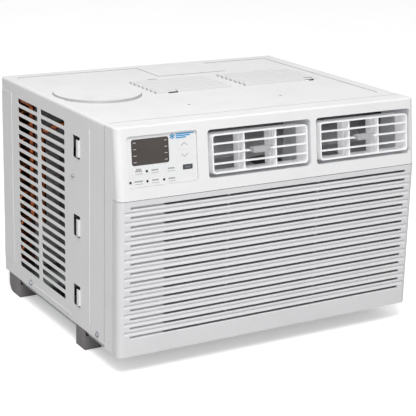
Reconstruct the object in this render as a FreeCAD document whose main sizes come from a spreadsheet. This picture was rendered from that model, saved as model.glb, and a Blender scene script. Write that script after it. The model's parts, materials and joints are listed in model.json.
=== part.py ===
import FreeCAD, Part
import math
import os
import Sketcher
from FreeCAD import Placement, Rotation, Vector

# Window air conditioner, in millimetres. +X is to the right seen from the room, +Y points out of
# the window and +Z is up. The origin is at the middle of the footprint, on the ground under the feet.

doc = FreeCAD.newDocument("window_air_conditioner")
sheet = doc.addObject("Spreadsheet::Sheet", "d")

DIMENSIONS = [
    ("wide", 480, "outside width of the cabinet and of the front"),
    ("front_y", -197, "front face of the grille"),
    ("seam_y", -155, "rear edge of the front moulding"),
    ("cabinet_y", -153.9, "front edge of the cabinet, past a narrow joint"),
    ("rear_y", 197, "rear edge of the cabinet"),
    ("front_low", 26, "lower edge of the front above the ground"),
    ("top_z", 335.6, "top of the cabinet"),
    ("grille_top", 241, "top edge of the intake grille, where the control front starts to lean"),
    ("lean", 7.5, "lean of the control front in degrees"),
    ("steel", 1.0, "cabinet sheet"),
    ("wall", 2.5, "moulded wall"),
    ("skirt_z", 30.3, "lower edge of the cabinet sides"),
    ("corner", 9, "rounding of the front's upright edges"),
    ("slot_rows", 20, "rows of louvre slots in each cabinet side"),
    ("slot_pitch", 13.25, "pitch of the slot rows"),
    ("slot_tall", 8.2, "height of one slot"),
    ("slot_top", 314, "top of the highest slot"),
    ("vent_rows", 7, "rows of pressed vents in the top"),
    ("vent_pitch", 12.9, "pitch of those rows"),
    ("vent_front", -7, "front row of the vents"),
    ("swell_x", -165, "centre of the raised disc over the compressor"),
    ("swell_y", 23, "centre of the raised disc over the compressor"),
    ("swell_r", 64, "radius of the raised disc"),
    ("sink", 0.9, "depth of the pressed field of the top"),
    ("pan_z", 20.5, "underside of the base pan"),
    ("pan_wall", 24, "height of the pan's rim"),
    ("gap_rows", 15, "air gaps in the intake grille"),
    ("gap_pitch", 12.71, "pitch of the gaps"),
    ("gap_tall", 3.3, "height of a gap"),
    ("gap_top", 232.7, "top of the highest gap"),
    ("gap_half", 223, "half the length of a gap"),
    ("hinge_y", -182, "grille hinge axis"),
    ("hinge_z", 30.2, "grille hinge axis"),
    ("recess", 2.3, "depth of the control overlay behind the leaning front"),
    ("outlet_low", 16.2, "lower edge of the discharge openings, up the leaning face"),
    ("outlet_high", 81, "upper edge of the discharge openings"),
    ("outlet_wide", 164, "width of one discharge opening"),
    ("outlet_left", -106, "left edge of the left opening"),
    ("outlet_right", 67.4, "left edge of the right opening"),
    ("louver_wide", 152.4, "width of a louvre frame"),
    ("louver_tall", 53, "height of a louvre frame"),
    ("louver_deep", 26, "depth of a louvre frame"),
    ("vane_offset", 25, "vane axis from the middle of its frame"),
    ("axle_x", 54, "fan axis"),
    ("axle_z", 165, "fan axis"),
    ("shaft_r", 4, "radius of the fan shaft"),
    ("fan_r", 120, "radius of the condenser fan"),
    ("blower_r", 78, "radius of the blower wheel"),
    ("copper_r", 3.5, "radius of the coil tubes"),
    ("coil_pitch", 21, "pitch of the coil tubes"),
]
for row, (alias, value, meaning) in enumerate(DIMENSIONS, 1):
    sheet.set(f"A{row}", meaning)
    sheet.set(f"B{row}", str(value))
    sheet.setAlias(f"B{row}", alias)
doc.recompute()

NODES = []
AXIS_TURN = {"x": Rotation(Vector(0, 1, 0), 90), "y": Rotation(Vector(1, 0, 0), -90), "z": Rotation()}


# ---- helpers -------------------------------------------------------------------------------------

def size(expression):
    """Number that a sheet expression stands for."""
    return float(sheet.evalExpression(str(expression)))


def keep(solid, label):
    """Name a finished sub-part; its label is its file's name."""
    solid.Label = label
    NODES.append(solid)
    return solid


def place(solid, x, y, z):
    """Bind where a solid's own origin lies."""
    for letter, expression in zip("xyz", (x, y, z)):
        solid.setExpression(f"Placement.Base.{letter}", str(expression))
    return solid


def place_on_front(solid, x, up, depth):
    """Put a solid on the leaning control front: x across, up the face, depth into it."""
    solid.Placement = Placement(Vector(), Rotation(Vector(1, 0, 0), -size("d.lean")))
    y = f"d.front_y + ({up}) * sin(d.lean) + ({depth}) * cos(d.lean)"
    z = f"d.grille_top + ({up}) * cos(d.lean) - ({depth}) * sin(d.lean)"
    return place(solid, x, y, z)


def block(name, x, y, z):
    """Box between a low and a high expression along each axis."""
    solid = doc.addObject("Part::Box", name)
    for prop, (low, high) in zip(("Length", "Width", "Height"), (x, y, z)):
        solid.setExpression(prop, f"({high}) - ({low})")
    return place(solid, x[0], y[0], z[0])


def front_block(name, x, up, depth):
    """Box given by its spans across, up and into the leaning front."""
    solid = doc.addObject("Part::Box", name)
    for prop, (low, high) in zip(("Length", "Width", "Height"), (x, depth, up)):
        solid.setExpression(prop, f"({high}) - ({low})")
    return place_on_front(solid, x[0], up[0], depth[0])


def rod(name, axis, low, radius, length):
    """Cylinder along one axis from the centre of its low end."""
    solid = doc.addObject("Part::Cylinder", name)
    solid.setExpression("Radius", str(radius))
    solid.setExpression("Height", str(length))
    solid.Placement = Placement(Vector(), AXIS_TURN[axis])
    return place(solid, *low)


def joined(name, *solids):
    """One solid fused from several."""
    fusion = doc.addObject("Part::MultiFuse", name)
    fusion.Shapes = list(solids)
    return fusion


def cut(name, base, *tools):
    """A solid with one or more tools taken away."""
    result = doc.addObject("Part::Cut", name)
    result.Base = base
    result.Tool = tools[0] if len(tools) == 1 else joined(name + "_tools", *tools)
    return result


def group(name, solids):
    """Equal pieces that share one node as separate solids."""
    bundle = doc.addObject("Part::Compound", name)
    bundle.Links = list(solids)
    return bundle


def free_shape(name, shape):
    """A solid that neither a sketch nor a primitive describes well."""
    feature = doc.addObject("Part::Feature", name)
    feature.Shape = shape
    feature.Placement = Placement()
    return feature


def origin_plane(body, role):
    return next(item for item in body.Origin.OriginFeatures if item.Role == role)


def new_sketch(body, name, role, offset=0):
    """Sketch on an origin plane of its own body, moved along the plane's normal."""
    drawing = body.newObject("Sketcher::SketchObject", name)
    drawing.AttachmentSupport = [(origin_plane(body, role), "")]
    drawing.MapMode = "FlatFace"
    drawing.setExpression("AttachmentOffset.Base.z", str(offset))
    return drawing


def bound(drawing, kind, places, expression):
    """Dimension of a sketch, bound to the sheet."""
    index = drawing.addConstraint(Sketcher.Constraint(kind, *places, size(expression)))
    drawing.setExpression(f"Constraints[{index}]", str(expression))


def draw_outline(drawing, corners):
    """Closed outline through corner points given as pairs of expressions."""
    points = [Vector(size(x), size(y), 0) for x, y in corners]
    count = len(points)
    lines = drawing.addGeometry([Part.LineSegment(points[i], points[(i + 1) % count]) for i in range(count)])
    for i, line in enumerate(lines):
        drawing.addConstraint(Sketcher.Constraint("Coincident", line, 2, lines[(i + 1) % count], 1))
        bound(drawing, "DistanceX", (-1, 1, line, 1), corners[i][0])
        bound(drawing, "DistanceY", (-1, 1, line, 1), corners[i][1])


def draw_rounded(drawing, x, y, radius):
    """Rectangle with equal round corners, between low and high expressions."""
    left, right, low, high, turn = (size(item) for item in (*x, *y, radius))
    corners = [(right - turn, low + turn), (right - turn, high - turn), (left + turn, high - turn),
               (left + turn, low + turn)]
    ends = [((left + turn, low), (right - turn, low)), ((right, low + turn), (right, high - turn)),
            ((right - turn, high), (left + turn, high)), ((left, high - turn), (left, low + turn))]
    lines = drawing.addGeometry([Part.LineSegment(Vector(*a, 0), Vector(*b, 0)) for a, b in ends])
    arcs = drawing.addGeometry([
        Part.ArcOfCircle(Part.Circle(Vector(*centre, 0), Vector(0, 0, 1), turn),
                         math.radians(90 * i - 90), math.radians(90 * i))
        for i, centre in enumerate(corners)])
    for i, line in enumerate(lines):
        drawing.addConstraint(Sketcher.Constraint("Tangent", line, 2, arcs[i], 1))
        drawing.addConstraint(Sketcher.Constraint("Tangent", arcs[i], 2, lines[(i + 1) % 4], 1))
        drawing.addConstraint(Sketcher.Constraint("Vertical" if i % 2 else "Horizontal", line))
    for arc in arcs[1:]:
        drawing.addConstraint(Sketcher.Constraint("Equal", arcs[0], arc))
    bound(drawing, "Radius", (arcs[0],), radius)
    bound(drawing, "DistanceX", (-1, 1, lines[3], 1), x[0])
    bound(drawing, "DistanceX", (-1, 1, lines[1], 1), x[1])
    bound(drawing, "DistanceY", (-1, 1, lines[0], 1), y[0])
    bound(drawing, "DistanceY", (-1, 1, lines[2], 1), y[1])


def pad(body, name, drawing, length, both_ways=False, reverse=False):
    feature = body.newObject("PartDesign::Pad", name)
    feature.Profile = drawing
    feature.setExpression("Length", str(length))
    feature.Midplane = both_ways
    feature.Reversed = reverse
    return feature


def pocket(body, name, drawing, length, both_ways=False, reverse=False):
    feature = body.newObject("PartDesign::Pocket", name)
    feature.Profile = drawing
    feature.setExpression("Length", str(length))
    feature.Midplane = both_ways
    feature.Reversed = reverse
    return feature


def rows_down(body, name, feature, drawing, pitch, count):
    """Repeat a feature in equal steps down its upright sketch."""
    pattern = body.newObject("PartDesign::LinearPattern", name)
    pattern.Originals = [feature]
    pattern.Direction = (drawing, ["V_Axis"])
    pattern.Reversed = True
    pattern.setExpression("Length", f"({pitch}) * (({count}) - 1)")
    pattern.setExpression("Occurrences", str(count))
    body.Tip = pattern
    return pattern


def round_edges(body, name, radius, chosen):
    """Fillet the edges of a body that a test picks."""
    doc.recompute()
    base = body.Tip
    feature = body.newObject("PartDesign::Fillet", name)
    feature.Base = (base, [f"Edge{i + 1}" for i, edge in enumerate(base.Shape.Edges) if chosen(edge)])
    feature.setExpression("Radius", str(radius))
    return feature


def plate(name, role, x, y, radius, thickness, reverse=False):
    """Plate with round corners, padded from an origin plane."""
    body = doc.addObject("PartDesign::Body", name)
    drawing = new_sketch(body, name + "_outline", role)
    draw_rounded(drawing, x, y, radius)
    pad(body, name + "_pad", drawing, thickness, reverse=reverse)
    return body


def front_plate(name, x, up, radius, depth):
    """Plate with round corners lying in the leaning front, between two depths."""
    body = plate(name, "XZ_Plane", x, up, radius, f"({depth[1]}) - ({depth[0]})", reverse=True)
    return place_on_front(body, 0, 0, depth[0])


def tube_path(points, bend):
    """Straight runs through the points with tangent bends of one radius."""
    edges = []
    start = points[0]
    for before, at, after in zip(points, points[1:], points[2:]):
        inward = (before - at).normalize()
        onward = (after - at).normalize()
        half_turn = (math.pi - inward.getAngle(onward)) / 2
        setback = bend * math.tan(half_turn)
        middle = at + (inward + onward).normalize() * (bend / math.cos(half_turn) - bend)
        edges.append(Part.LineSegment(start, at + inward * setback).toShape())
        edges.append(Part.Arc(at + inward * setback, middle, at + onward * setback).toShape())
        start = at + onward * setback
    edges.append(Part.LineSegment(start, points[-1]).toShape())
    return Part.Wire(edges)


def tube(points, radius, bend):
    """Solid tube along a bent path."""
    path = tube_path(points, bend)
    section = Part.Wire(Part.makeCircle(radius, points[0], points[1] - points[0]))
    return path.makePipeShell([section], True, False)


# ---- cabinet and base ----------------------------------------------------------------------------

CHANNEL_ROWS = (57.5, 159, 270)        # lower edges of the curtain channel slots
CHANNEL_TALL = 31
CHANNEL_SPAN = (-79, -57)          # their front and rear edges
REAR_COLUMN = (64, 136)
FRONT_COLUMN = (-29.5, 53)
VENT_SPANS = ((-87, 39), (63, 195))
TOP_HOLES = ((-41, 87), (-60, -7), (146, 85), (177.5, -8))
RAIL_HOLES = ((-80, -91), (71.5, -91))
RAIL_HOLE_R = 2.2


FIELD_X = (-226, 216)                  # pressed field of the top, with a notch in its rear edge
FIELD_Y = (-136, 178)
NOTCH_X = (-22, 98)
NOTCH_Y = 106


def vent_rows():
    """Name, ends and row number of every vent in the top."""
    return [(f"{i}_{row}", low, high, row) for i, (low, high) in enumerate(VENT_SPANS)
            for row in range(int(size("d.vent_rows")))]


def make_cabinet():
    body = doc.addObject("PartDesign::Body", "cabinet_body")
    outline = new_sketch(body, "cabinet_outline", "XZ_Plane")
    draw_rounded(outline, ("-d.wide / 2", "d.wide / 2"), ("d.skirt_z - 20", "d.top_z"), 4)
    pad(body, "cabinet_pad", outline, "d.rear_y - d.cabinet_y", reverse=True)
    body.setExpression("Placement.Base.y", "d.cabinet_y")
    hollow = new_sketch(body, "cabinet_hollow", "XZ_Plane")
    draw_rounded(hollow, ("-d.wide / 2 + d.steel", "d.wide / 2 - d.steel"),
                 ("d.skirt_z - 40", "d.top_z - d.steel"), 3)
    pocket(body, "cabinet_inside", hollow, "d.rear_y - d.cabinet_y")
    slots = new_sketch(body, "side_slots", "YZ_Plane")
    for low, high in (FRONT_COLUMN, REAR_COLUMN):
        draw_rounded(slots, (f"{low} - d.cabinet_y", f"{high} - d.cabinet_y"),
                     ("d.slot_top - d.slot_tall", "d.slot_top"), 3)
    opening = pocket(body, "side_slot_pair", slots, "d.wide + 20", both_ways=True)
    rows_down(body, "side_slot_rows", opening, slots, "d.slot_pitch", "d.slot_rows")
    doc.recompute()

    below = block("below_skirt", ("-d.wide", "d.wide"), ("d.seam_y - 1", "d.rear_y + 1"), (0, "d.skirt_z"))
    channels = [block(f"channel_slot_{i}", ("-d.wide", "d.wide"), CHANNEL_SPAN, (low, low + CHANNEL_TALL))
                for i, low in enumerate(CHANNEL_ROWS)]
    shell = cut("cabinet_shell", body, below, *channels, make_field("field_way", 0, "d.top_z - 5", 20))

    # The field is a sheet set lower than the border of the top, and joined under its edge.
    field = make_field("field_sheet", 1, "d.top_z - d.sink - d.steel - 0.1", "d.steel + 0.1")
    swell_hole = rod("swell_hole", "z", ("d.swell_x", "d.swell_y", "d.top_z - 5"), "d.swell_r - 4", 20)
    slits = [block(f"vent_slit_{name}", (low + 5, high - 5),
                   (f"d.vent_front + {row} * d.vent_pitch - 2.2", f"d.vent_front + {row} * d.vent_pitch + 4"),
                   ("d.top_z - 5", "d.top_z + 9")) for name, low, high, row in vent_rows()]
    top = cut("top_sheet", field, swell_hole, *slits)

    hoods = [make_vent_hood(f"vent_hood_{name}", low, high, row) for name, low, high, row in vent_rows()]
    tabs = [make_channel_tab(f"channel_tab_{side}_{i}", 1 if side == "right" else -1, low)
            for side in ("left", "right") for i, low in enumerate(CHANNEL_ROWS)]
    whole = joined("cabinet_whole", shell, top, make_swell(), *hoods, *tabs, *make_rear_flanges(),
                   *make_side_presses())
    holes = [block(f"top_hole_{i}", (x - 8, x + 8), (y - 5, y + 5), ("d.top_z - 5", "d.top_z + 9"))
             for i, (x, y) in enumerate(TOP_HOLES)]
    rail_holes = [rod(f"rail_hole_{i}", "z", (x, y, "d.top_z - 5"), RAIL_HOLE_R, 20)
                  for i, (x, y) in enumerate(RAIL_HOLES)]
    keep(cut("cabinet_finished", whole, *holes, *rail_holes), "cabinet")


def make_field(name, margin, low_z, tall):
    """Prism over the pressed field of the top, grown by a margin on every side."""
    x = (FIELD_X[0] - margin, FIELD_X[1] + margin)
    y = (FIELD_Y[0] - margin, FIELD_Y[1] + margin)
    whole = place(plate(name + "_whole", "XY_Plane", x, y, 10, tall), 0, 0, low_z)
    notch = plate(name + "_notch", "XY_Plane", (NOTCH_X[0] + margin, NOTCH_X[1] - margin),
                  (NOTCH_Y + margin, FIELD_Y[1] + 20), 4, "60")
    return cut(name, whole, place(notch, 0, 0, "d.top_z - 30"))


def make_swell():
    """Raised disc over the compressor: a steep ring closed by a flat cap."""
    rings = []
    for name, low_r, high_r, tall in (("swell_cone", "d.swell_r", "d.swell_r - 1.6", 3.9),
                                      ("swell_cone_inside", "d.swell_r - 2.6", "d.swell_r - 3.8", 2.9)):
        ring = doc.addObject("Part::Cone", name)
        ring.setExpression("Radius1", low_r)
        ring.setExpression("Radius2", high_r)
        ring.setExpression("Height", str(tall))
        rings.append(place(ring, "d.swell_x", "d.swell_y", "d.top_z - d.sink - 0.4"))
    return cut("swell", *rings)


def make_rear_flanges():
    """Edges of the wrapper folded in round the condenser."""
    rear = ("d.rear_y - d.steel", "d.rear_y")
    top = block("rear_flange_top", ("-d.wide / 2 + 0.5", "d.wide / 2 - 0.5"), rear,
                ("d.top_z - 15", "d.top_z - 0.5"))
    sides = [block(f"rear_flange_{x[0]}", x, rear, ("d.skirt_z", "d.top_z - 4"))
             for x in ((-239.5, -220), (220, 239.5))]
    return [top, *sides]


def make_side_presses():
    """Shallow pressed panel at the rear of each side, and a bead above its lower edge."""
    presses = []
    for word, inner, outer in (("left", "-d.wide / 2 + 0.5", "-d.wide / 2 - 0.6"),
                               ("right", "d.wide / 2 - 0.5", "d.wide / 2 + 0.6")):
        span = (outer, inner) if word == "left" else (inner, outer)
        presses.append(block(f"side_press_{word}", span, (160, "d.rear_y - 0.2"), (53, 317)))
        presses.append(block(f"side_bead_{word}", span, (-48, 85), (36.5, 39.5)))
        presses.append(block(f"side_crease_{word}", span, (-109.5, -108.4), (44, 318)))
    return presses


def make_vent_hood(name, low, high, row):
    """Pressed louvre over a slit: a sloping front, a narrow opening at its rear and closed ends."""
    y = size(f"d.vent_front + {row} * d.vent_pitch")
    z = size("d.top_z - d.sink")
    section = [Vector(low, y - 5.6, z - 0.6), Vector(low, y + 1.6, z + 3.0), Vector(low, y + 4.2, z + 3.1),
               Vector(low, y + 4.2, z + 2.2), Vector(low, y + 1.9, z + 2.1), Vector(low, y - 3.6, z - 0.6)]
    ridge = Part.Face(Part.makePolygon(section + section[:1])).extrude(Vector(high - low, 0, 0))
    for x in (low, high - 1):
        cheek = [Vector(x, y - 5.6, z - 0.6), Vector(x, y + 1.6, z + 3.0), Vector(x, y + 4.2, z + 3.1),
                 Vector(x, y + 5.2, z - 0.6)]
        ridge = ridge.fuse(Part.Face(Part.makePolygon(cheek + cheek[:1])).extrude(Vector(1, 0, 0)))
    return free_shape(name, ridge)


def make_channel_tab(name, side, low):
    """Tongue folded out of the sheet: out from the slot's front edge, then rearwards."""
    outer = 2.6
    edge = size("d.wide / 2") * side
    front = CHANNEL_SPAN[0]
    stem = sorted((edge - side * size("d.steel"), edge + side * outer))
    wing = sorted((edge + side * (outer - 0.9), edge + side * outer))
    bottom, top = low + 3.5, low + CHANNEL_TALL - 4
    return joined(name,
                  block(name + "_stem", stem, (front - 0.2, front + 0.9), (bottom, top)),
                  block(name + "_wing", wing, (front - 0.2, front + 6), (bottom, top)))


def make_base_pan():
    body = doc.addObject("PartDesign::Body", "base_pan_body")
    outline = new_sketch(body, "pan_outline", "XY_Plane")
    draw_rounded(outline, ("-d.wide / 2 + 2", "d.wide / 2 - 2"), ("-166", "d.rear_y - 2"), 14)
    pad(body, "pan_pad", outline, "d.pan_wall")
    body.setExpression("Placement.Base.z", "d.pan_z")
    round_edges(body, "pan_lower_edge", 8, lambda edge: edge.BoundBox.ZMax < 0.01)
    inside = new_sketch(body, "pan_inside", "XY_Plane", 1.2)
    draw_rounded(inside, ("-d.wide / 2 + 7", "d.wide / 2 - 7"), ("-161", "d.rear_y - 7"), 10)
    pocket(body, "pan_hollow", inside, 60, reverse=True)
    nose = block("pan_nose_trim", ("-d.wide", "d.wide"), (-200, "d.seam_y + 0.2"), ("d.front_low - 0.2", 90))
    gland_hole = rod("gland_hole", "z", (200, -128, "d.pan_z - 5"), 8, 12)
    drain_hole = rod("drain_hole", "z", (-150, 160, "d.pan_z - 5"), 6, 12)
    feet_bolts = [rod(f"grommet_hole_{i}", "z", (*spot, "d.pan_z - 5"), 3.1, 12)
                  for i, spot in enumerate(mount_spots())]
    keep(cut("base_pan_cut", body, nose, gland_hole, drain_hole, *feet_bolts), "base_pan")


MOUNT_CIRCLE = 60


def mount_spots():
    """The three rubber mounts of the compressor, on a circle about its axis."""
    return [(size("d.swell_x") + MOUNT_CIRCLE * math.cos(turn),
             size("d.swell_y") + MOUNT_CIRCLE * math.sin(turn))
            for turn in (math.radians(30), math.radians(150), math.radians(270))]


def make_feet():
    """Four moulded feet; the rear pair is deeper and rounded at its rear lower edge."""
    for side, name in ((-1, "left"), (1, "right")):
        rear_x = sorted((side * 206, side * 239.8))
        front_x = sorted((side * 214, side * 239.8))
        lip_x = sorted((side * 238.3, side * 239.8))
        foot = block(f"rear_foot_block_{name}", rear_x, (141, 183), (0, "d.pan_z"))
        lip = block(f"rear_foot_lip_{name}", lip_x, (141, 183), (18, "d.skirt_z"))
        round_off = rod(f"rear_foot_round_{name}", "x", (rear_x[0] - 1, 167, 16), 16, 40)
        corner = block(f"rear_foot_corner_{name}", (rear_x[0] - 0.5, rear_x[1] + 0.5), (167, 184), (-1, 16))
        trim = cut(f"rear_foot_trim_{name}", corner, round_off)
        keep(cut(f"rear_foot_cut_{name}", joined(f"rear_foot_raw_{name}", foot, lip), trim),
             f"rear_foot_{name}")
        foot = block(f"front_foot_block_{name}", front_x, (-93, -64), (0, "d.pan_z"))
        lip = block(f"front_foot_lip_{name}", lip_x, (-93, -64), (16, "d.skirt_z"))
        keep(joined(f"front_foot_raw_{name}", foot, lip), f"front_foot_{name}")


# ---- front moulding ------------------------------------------------------------------------------

RECESS_X = (-225, -121.9)
RECESS_UP = (16, 83)
CHEVRON_X = (-149.7, -130.9)
SMALL_KEY = (18, 8.6)                  # width and height of a membrane key
KEY_GAP = 0.25
KEYS = {"button_fan_speed": (-208.6, 36.6), "button_eco": (-185, 36.2), "button_mode": (-161, 35.8),
        "button_filter": (-209.2, 23.4), "button_sleep": (-185, 23), "button_timer": (-160.8, 22.6)}
LED_SPOTS = ((-196.8, 36.2), (-221, 23.4), (-196.6, 23), (-172.2, 22.6))
LED_R = 1.6


def make_front_panel():
    body = doc.addObject("PartDesign::Body", "front_body")
    side = new_sketch(body, "front_side_view", "YZ_Plane")
    lean_back = "d.front_y + (d.top_z - d.grille_top) * tan(d.lean)"
    draw_outline(side, [("d.seam_y", "d.front_low"), ("d.seam_y", "d.top_z"), (lean_back, "d.top_z"),
                        ("d.front_y", "d.grille_top"), ("d.front_y", "d.front_low")])
    pad(body, "front_solid", side, "d.wide", both_ways=True)
    half = size("d.wide") / 2
    round_edges(body, "front_upright_edges", "d.corner", lambda edge: (
        abs(abs(edge.CenterOfMass.x) - half) < 0.1 and edge.BoundBox.ZLength > 50
        and edge.CenterOfMass.y < size("d.seam_y") - 10))
    round_edges(body, "front_top_edge", 2.5, lambda edge: (
        edge.BoundBox.ZMin > size("d.top_z") - 0.01 and edge.CenterOfMass.y < size("d.seam_y") - 5))
    inside = new_sketch(body, "front_upper_hollow", "YZ_Plane")
    draw_outline(inside, [("d.seam_y + 5", "d.grille_top + d.wall"), ("d.seam_y + 5", "d.top_z - d.wall"),
                          (lean_back + " + 4", "d.top_z - d.wall"),
                          ("d.front_y + 4.4", "d.grille_top + d.wall")])
    pocket(body, "front_upper_room", inside, "d.wide - 8", both_ways=True)
    lower = new_sketch(body, "front_lower_hollow", "YZ_Plane")
    draw_outline(lower, [("d.seam_y + 5", "d.front_low + d.wall"), ("d.seam_y + 5", "d.grille_top"),
                         ("d.front_y - 5", "d.grille_top"), ("d.front_y - 5", "d.front_low + d.wall")])
    pocket(body, "front_lower_room", lower, "d.wide - 6", both_ways=True)
    grille_room = new_sketch(body, "front_grille_room", "YZ_Plane")
    draw_outline(grille_room, [("-177.8", "d.front_low - 5"), ("-177.8", "d.grille_top"),
                               ("d.front_y - 5", "d.grille_top"), ("d.front_y - 5", "d.front_low - 5")])
    pocket(body, "front_grille_cut", grille_room, "d.wide + 20", both_ways=True)

    outlets = [front_plate(f"outlet_{name}", (f"d.outlet_{name}", f"d.outlet_{name} + d.outlet_wide"),
                           ("d.outlet_low", "d.outlet_high"), 5, (-5, 12)) for name in ("left", "right")]
    recess = front_plate("control_recess", RECESS_X, RECESS_UP, 4, (-3, "d.recess + 0.9"))
    backing = front_block("recess_backing", (RECESS_X[0] - 4, RECESS_X[1] + 2),
                          (RECESS_UP[0] - 2, RECESS_UP[1] + 2), (3, "d.recess + 3"))
    blank = block("filter_side_wall", ("-d.wide / 2 + 2", -174), (-177.8, -175.8),
                  ("d.front_low + 1", "d.grille_top + 1"))
    keyholes = [front_block(f"hole_{name}", *key_span(name, KEY_GAP), (-3, 12)) for name in ALL_KEYS]
    ears = []
    for side_x in (-1, 1):
        span = sorted((side_x * 230, side_x * 233))
        disc = rod(f"hinge_ear_disc_{side_x}", "x", (span[0], "d.hinge_y", "d.hinge_z"), 3.9, 3)
        neck = block(f"hinge_ear_neck_{side_x}", span, ("d.hinge_y", -170), (26.4, 34))
        hole = rod(f"hinge_ear_hole_{side_x}", "x", (span[0] - 1, "d.hinge_y", "d.hinge_z"), 2.05, 5)
        ears.append(cut(f"hinge_ear_{side_x}", joined(f"hinge_ear_raw_{side_x}", disc, neck), hole))
    opened = cut("front_opened", joined("front_filled", body, backing, blank), *outlets, recess, *keyholes)
    keep(joined("front_whole", opened, *ears), "front_panel")


def key_span(name, gap=0):
    """Span across and up the front of one key, grown by a gap."""
    x, up, wide, tall = ALL_KEYS[name]
    return ((x - wide / 2 - gap, x + wide / 2 + gap), (up - tall / 2 - gap, up + tall / 2 + gap))


ALL_KEYS = {name: (x, up, *SMALL_KEY) for name, (x, up) in KEYS.items()}
ALL_KEYS["button_up"] = (-140.3, 66, 17.4, 12.6)
ALL_KEYS["button_down"] = (-140.3, 51.4, 17.4, 12.6)
ALL_KEYS["button_power"] = (-136.3, 35.6, 14.4, 6.2)


def make_controls():
    overlay = front_plate("overlay_sheet", (RECESS_X[0] + 0.4, RECESS_X[1] - 0.4),
                          (RECESS_UP[0] + 0.4, RECESS_UP[1] - 0.4), 3.6, ("d.recess", "d.recess + 0.8"))
    windows = [front_block(f"overlay_hole_{name}", *key_span(name, KEY_GAP), (-3, 12)) for name in ALL_KEYS]
    display_hole = front_plate("overlay_display_hole", (-217.6, -163.2), (44.5, 78.5), 3.2, (-3, 12))
    led_holes = [drill_into_front(f"overlay_led_{i}", x, up, -3, LED_R + 0.1, 15)
                 for i, (x, up) in enumerate(LED_SPOTS)]
    keep(cut("overlay_cut", overlay, *windows, display_hole, *led_holes), "control_overlay")
    keep(front_plate("display_plate", (-217.3, -163.5), (44.8, 78.2), 3,
                     ("d.recess - 0.4", "d.recess + 0.8")),
         "display_window")
    for name, (x, up, wide, tall) in ALL_KEYS.items():
        corner = min(wide, tall) / 2 - 0.2 if name == "button_power" else 2
        cap = front_plate(name + "_cap", (x - wide / 2, x + wide / 2), (up - tall / 2, up + tall / 2),
                          corner, ("d.recess - 0.15", "d.recess + 4.4"))
        keep(cap, name)
    lamps = [drill_into_front(f"lamp_{i}", x, up, "d.recess - 0.2", LED_R, 1.0)
             for i, (x, up) in enumerate(LED_SPOTS)]
    keep(group("lamp_group", lamps), "led_windows")
    keep(front_block("board", (-223, -124), (17, 82), (7.8, 9.4)), "control_board")
    box = front_block("control_box_outer", (-232, -112), (8, 86), (9.8, 60))
    room = front_block("control_box_inner", (-229.5, -114.5), (10.5, 83.5), (9, 57.5))
    keep(cut("control_box_cut", box, room), "control_box")


def drill_into_front(name, x, up, depth, radius, length):
    """Cylinder that runs straight into the leaning front."""
    solid = place_on_front(drill(name, radius, length), x, up, depth)
    solid.Placement.Rotation = Rotation(Vector(1, 0, 0), -90 - size("d.lean"))
    return solid


def drill(name, radius, length):
    """Short cylinder; its placement is set by the caller."""
    solid = doc.addObject("Part::Cylinder", name)
    solid.setExpression("Radius", str(radius))
    solid.setExpression("Height", str(length))
    return solid


# ---- intake grille and filter --------------------------------------------------------------------

GRILLE_REAR = -178.6


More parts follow.
